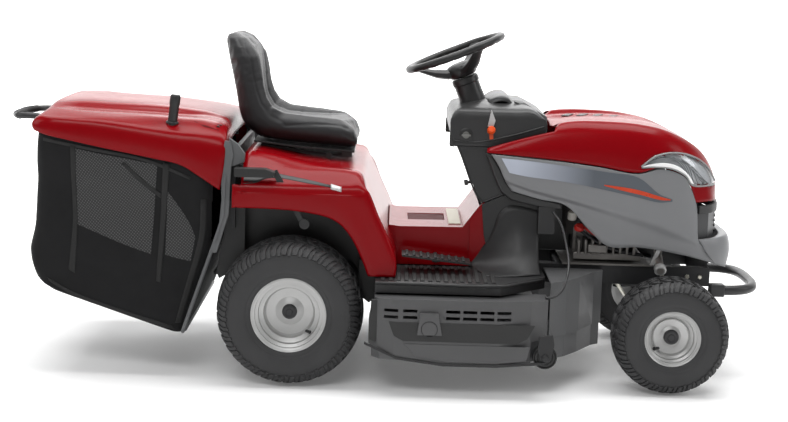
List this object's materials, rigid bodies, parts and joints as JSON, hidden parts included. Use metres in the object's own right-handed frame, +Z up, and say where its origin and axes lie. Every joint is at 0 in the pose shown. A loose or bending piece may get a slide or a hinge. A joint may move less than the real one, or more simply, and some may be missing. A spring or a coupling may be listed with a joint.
{
  "type": "riding lawn mower",
  "caption": "Ride-on lawn tractor with bonnet, padded seat, twin-blade mid deck, tipping rear grass collector and steered front axle.",
  "frame": {"origin": "on the ground under the middle of the machine's bounding box", "axes": "+X forward, towards the bumper, +Y to the driver's left, +Z up"},
  "size_m": [2.4303, 1.064, 1.079],
  "materials": {
    "red_paint": "glossy deep red moulded panels",
    "grey_plastic": "satin mid-grey moulding",
    "charcoal_plastic": "grained charcoal moulding",
    "black_plastic": "satin black moulding",
    "black_metal": "black powder coat",
    "frame_grey": "dark-grey powder coat",
    "deck_grey": "charcoal deck shell and covers",
    "bare_steel": "plain steel",
    "cast_metal": "rough casting",
    "tyre_rubber": "matte black rubber",
    "rim_silver": "silver paint",
    "seat_vinyl": "soft black vinyl with seams",
    "bag_fabric": "black woven mesh",
    "lamp_clear": "clear fluted lens",
    "orange_plastic": "orange-red knob",
    "cable_black": "black cable sheath"
  },
  "bodies": {
    "chassis": {"chassis_frame": "black_metal", "front_bumper": "black_metal", "transaxle": "cast_metal", "steering_column_cover": "charcoal_plastic", "dash_console": "charcoal_plastic", "leg_shield": "charcoal_plastic", "rear_fender": "red_paint", "floor_tunnel": "red_paint", "footboard_right": "charcoal_plastic", "footboard_left": "charcoal_plastic", "engine_block": "cast_metal", "blower_housing": "charcoal_plastic", "muffler": "bare_steel", "fuel_tank": "black_plastic", "battery": "black_plastic", "discharge_chute": "black_plastic", "deck_cable": "cable_black"},
    "rear_wheel_right": {"rear_right_tyre": "tyre_rubber", "rear_right_rim": "rim_silver", "rear_right_hub_cap": "black_plastic"},
    "rear_wheel_left": {"rear_left_tyre": "tyre_rubber", "rear_left_rim": "rim_silver", "rear_left_hub_cap": "black_plastic"},
    "front_axle": {"front_axle_beam": "black_metal"},
    "knuckle_right": {"steering_knuckle_right": "black_metal"},
    "knuckle_left": {"steering_knuckle_left": "black_metal"},
    "front_wheel_right": {"front_right_tyre": "tyre_rubber", "front_right_rim": "rim_silver", "front_right_hub_cap": "black_plastic"},
    "front_wheel_left": {"front_left_tyre": "tyre_rubber", "front_left_rim": "rim_silver", "front_left_hub_cap": "black_plastic"},
    "tie_rod": {"tie_rod": "bare_steel"},
    "steering": {"steering_wheel": "black_plastic"},
    "seat_carriage": {"seat_slider": "black_metal"},
    "seat": {"seat_pan": "black_metal", "seat_cushion": "seat_vinyl"},
    "hood": {"hood_top": "red_paint", "hood_sides": "grey_plastic", "headlamp_right": "lamp_clear", "headlamp_left": "lamp_clear", "grille": "charcoal_plastic"},
    "collector": {"collector_frame": "frame_grey", "collector_cover": "red_paint", "grass_bag": "bag_fabric"},
    "tip_lever": {"tipping_lever": "black_plastic"},
    "deck": {"deck_shell": "deck_grey", "deck_side_cover_right": "deck_grey", "deck_side_cover_left": "deck_grey"},
    "blade_right": {"blade_right": "bare_steel"},
    "blade_left": {"blade_left": "bare_steel"},
    "roller_right": {"deck_roller_right": "black_plastic"},
    "roller_left": {"deck_roller_left": "black_plastic"},
    "throttle": {"throttle_lever": "orange_plastic"},
    "key": {"ignition_key": "bare_steel"},
    "parking_brake": {"parking_brake_knob": "black_plastic"},
    "drive_pedal": {"drive_pedal": "charcoal_plastic"},
    "brake_pedal": {"brake_pedal": "charcoal_plastic"},
    "height_lever": {"height_lever": "black_plastic"}
  },
  "joints": [
    {"name": "rear_wheel_right_spin", "type": "hinge", "parent": "chassis", "child": "rear_wheel_right", "pos_m": [-0.29, -0.36, 0.2265], "axis": [0, 1, 0], "continuous": true},
    {"name": "rear_wheel_left_spin", "type": "hinge", "parent": "chassis", "child": "rear_wheel_left", "pos_m": [-0.29, 0.36, 0.2265], "axis": [0, 1, 0], "continuous": true},
    {"name": "front_axle_rock", "type": "hinge", "parent": "chassis", "child": "front_axle", "pos_m": [0.882, 0, 0.262], "axis": [1, 0, 0], "range_deg": [-5, 5]},
    {"name": "kingpin_right_turn", "type": "hinge", "parent": "front_axle", "child": "knuckle_right", "pos_m": [0.882, -0.258, 0.226], "axis": [0, 0, 1], "range_deg": [-28, 28]},
    {"name": "front_wheel_right_spin", "type": "hinge", "parent": "knuckle_right", "child": "front_wheel_right", "pos_m": [0.882, -0.365, 0.1805], "axis": [0, 1, 0], "continuous": true},
    {"name": "kingpin_left_turn", "type": "hinge", "parent": "front_axle", "child": "knuckle_left", "pos_m": [0.882, 0.258, 0.226], "axis": [0, 0, 1], "range_deg": [-28, 28]},
    {"name": "front_wheel_left_spin", "type": "hinge", "parent": "knuckle_left", "child": "front_wheel_left", "pos_m": [0.882, 0.365, 0.1805], "axis": [0, 1, 0], "continuous": true},
    {"name": "tie_rod_shift", "type": "slide", "parent": "front_axle", "child": "tie_rod", "axis": [0, 1, 0], "range_m": [-0.044, 0.044]},
    {"name": "steering_turn", "type": "hinge", "parent": "chassis", "child": "steering", "pos_m": [0.205, 0, 1.0085], "axis": [-0.3714, 0, 0.9285], "range_deg": [-140, 140]},
    {"name": "seat_adjust", "type": "slide", "parent": "chassis", "child": "seat_carriage", "axis": [0.9929, 0, -0.119], "range_m": [0, 0.09]},
    {"name": "seat_tip", "type": "hinge", "parent": "seat_carriage", "child": "seat", "pos_m": [-0.134, 0, 0.679], "axis": [0, 1, 0], "range_deg": [0, 60]},
    {"name": "hood_open", "type": "hinge", "parent": "chassis", "child": "hood", "pos_m": [1.064, 0, 0.376], "axis": [0, 1, 0], "range_deg": [0, 66]},
    {"name": "collector_tip", "type": "hinge", "parent": "chassis", "child": "collector", "pos_m": [-0.525, 0, 0.775], "axis": [0, 1, 0], "range_deg": [0, 70]},
    {"name": "tip_lever_extend", "type": "slide", "parent": "collector", "child": "tip_lever", "axis": [0.1116, 0, 0.9938], "range_m": [0, 0.12]},
    {"name": "deck_lift", "type": "slide", "parent": "chassis", "child": "deck", "axis": [0, 0, 1], "range_m": [-0.06, 0]},
    {"name": "height_lever_turn", "type": "hinge", "parent": "chassis", "child": "height_lever", "pos_m": [-0.25, -0.402, 0.5], "axis": [0, 1, 0], "range_deg": [0, 40]},
    {"name": "blade_right_spin", "type": "hinge", "parent": "deck", "child": "blade_right", "pos_m": [0.24, -0.24, 0.2], "axis": [0, 0, 1], "continuous": true},
    {"name": "blade_left_spin", "type": "hinge", "parent": "deck", "child": "blade_left", "pos_m": [0.24, 0.24, 0.2], "axis": [0, 0, 1], "continuous": true},
    {"name": "roller_right_spin", "type": "hinge", "parent": "deck", "child": "roller_right", "pos_m": [0.486, -0.5, 0.134], "axis": [0, 1, 0], "continuous": true},
    {"name": "roller_left_spin", "type": "hinge", "parent": "deck", "child": "roller_left", "pos_m": [0.486, 0.5, 0.134], "axis": [0, 1, 0], "continuous": true},
    {"name": "throttle_turn", "type": "hinge", "parent": "chassis", "child": "throttle", "pos_m": [0.32, -0.207, 0.752], "axis": [0, 1, 0], "range_deg": [-20, 25]},
    {"name": "key_turn", "type": "hinge", "parent": "chassis", "child": "key", "pos_m": [0.239, -0.21, 0.764], "axis": [0, 1, 0], "range_deg": [0, 60]},
    {"name": "parking_brake_pull", "type": "slide", "parent": "chassis", "child": "parking_brake", "axis": [-1, 0, 0], "range_m": [0, 0.02]},
    {"name": "drive_pedal_rock", "type": "hinge", "parent": "chassis", "child": "drive_pedal", "pos_m": [0.155, -0.25, 0.38], "axis": [0, 1, 0], "range_deg": [-10, 10], "stiffness_Nm_per_rad": 20},
    {"name": "brake_pedal_press", "type": "hinge", "parent": "chassis", "child": "brake_pedal", "pos_m": [0.44, 0.25, 0.47], "axis": [0, 1, 0], "range_deg": [-25, 0], "stiffness_Nm_per_rad": 15, "springref_deg": 5.73}
  ],
  "couplings": [
    {"joint": "kingpin_right_turn", "follows": "steering_turn", "ratio": 0.2},
    {"joint": "kingpin_left_turn", "follows": "steering_turn", "ratio": 0.2},
    {"joint": "tie_rod_shift", "follows": "steering_turn", "m_per_rad": -0.0172},
    {"joint": "height_lever_turn", "follows": "deck_lift", "rad_per_m": -11.6},
    {"joint": "blade_left_spin", "follows": "blade_right_spin", "ratio": -1}
  ]
}
